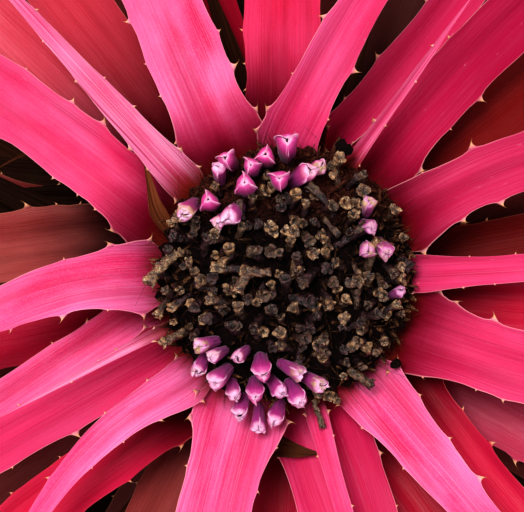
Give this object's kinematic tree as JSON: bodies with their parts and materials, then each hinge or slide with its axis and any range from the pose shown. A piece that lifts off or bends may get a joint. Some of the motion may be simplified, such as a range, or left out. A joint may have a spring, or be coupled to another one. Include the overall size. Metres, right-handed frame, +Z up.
{
  "type": "bromelia plant",
  "caption": "Ground-rooted rosette of spiny, channelled pink leaves round a low nest-like head of spent and fresh flowers, on a short stem.",
  "frame": {"origin": "centre of the flat cut under the stem, at ground level", "axes": "+Z up along the stem; +X towards the right of the picture and +Y towards its top, seen from above"},
  "size_m": [0.675, 0.667, 0.2002],
  "materials": {
    "stem": "dull, fibrous, brown stem with leaf scars and dry sheath fibres",
    "spent_flower": "withered, matt, brown-black flower tubes with tan tips over dark wool",
    "fresh_flower": "soft satin violet petals with pale pink-white margins",
    "leaf_inner": "waxy hot pink blade with fine lengthwise veins, pale margin and amber hooked spines",
    "leaf_middle": "waxy crimson blade with fine lengthwise veins, pale margin and hooked spines",
    "leaf_outer": "duller brownish red blade with fine lengthwise veins and hooked spines"
  },
  "bodies": {
    "root": {"stem": "stem", "flower_head": "spent_flower", "flowers_upper": "fresh_flower", "flowers_right": "fresh_flower", "flowers_lower": "fresh_flower", "leaf_inner_01": "leaf_inner", "leaf_inner_02": "leaf_inner", "leaf_inner_03": "leaf_inner", "leaf_inner_04": "leaf_inner", "leaf_inner_05": "leaf_inner", "leaf_inner_06": "leaf_inner", "leaf_inner_07": "leaf_inner", "leaf_inner_08": "leaf_inner", "leaf_inner_09": "leaf_inner", "leaf_inner_10": "leaf_inner", "leaf_inner_11": "leaf_inner", "leaf_inner_12": "leaf_inner", "leaf_inner_13": "leaf_inner", "leaf_inner_14": "leaf_inner", "leaf_inner_15": "leaf_inner", "leaf_middle_01": "leaf_middle", "leaf_middle_02": "leaf_middle", "leaf_middle_03": "leaf_middle", "leaf_middle_04": "leaf_middle", "leaf_middle_05": "leaf_middle", "leaf_middle_06": "leaf_middle", "leaf_middle_07": "leaf_middle", "leaf_middle_08": "leaf_middle", "leaf_middle_09": "leaf_middle", "leaf_middle_10": "leaf_middle", "leaf_middle_11": "leaf_middle", "leaf_middle_12": "leaf_middle", "leaf_middle_13": "leaf_middle", "leaf_middle_14": "leaf_middle", "leaf_middle_15": "leaf_middle", "leaf_middle_16": "leaf_middle", "leaf_middle_17": "leaf_middle", "leaf_middle_18": "leaf_middle", "leaf_middle_19": "leaf_middle", "leaf_middle_20": "leaf_middle", "leaf_middle_21": "leaf_middle", "leaf_outer_01": "leaf_outer", "leaf_outer_02": "leaf_outer", "leaf_outer_03": "leaf_outer", "leaf_outer_04": "leaf_outer", "leaf_outer_05": "leaf_outer", "leaf_outer_06": "leaf_outer", "leaf_outer_07": "leaf_outer", "leaf_outer_08": "leaf_outer", "leaf_outer_09": "leaf_outer", "leaf_outer_10": "leaf_outer", "leaf_outer_11": "leaf_outer", "leaf_outer_12": "leaf_outer", "leaf_outer_13": "leaf_outer", "leaf_outer_14": "leaf_outer", "leaf_outer_15": "leaf_outer", "leaf_outer_16": "leaf_outer", "leaf_outer_17": "leaf_outer", "leaf_outer_18": "leaf_outer", "leaf_outer_19": "leaf_outer"}
  },
  "joints": []
}
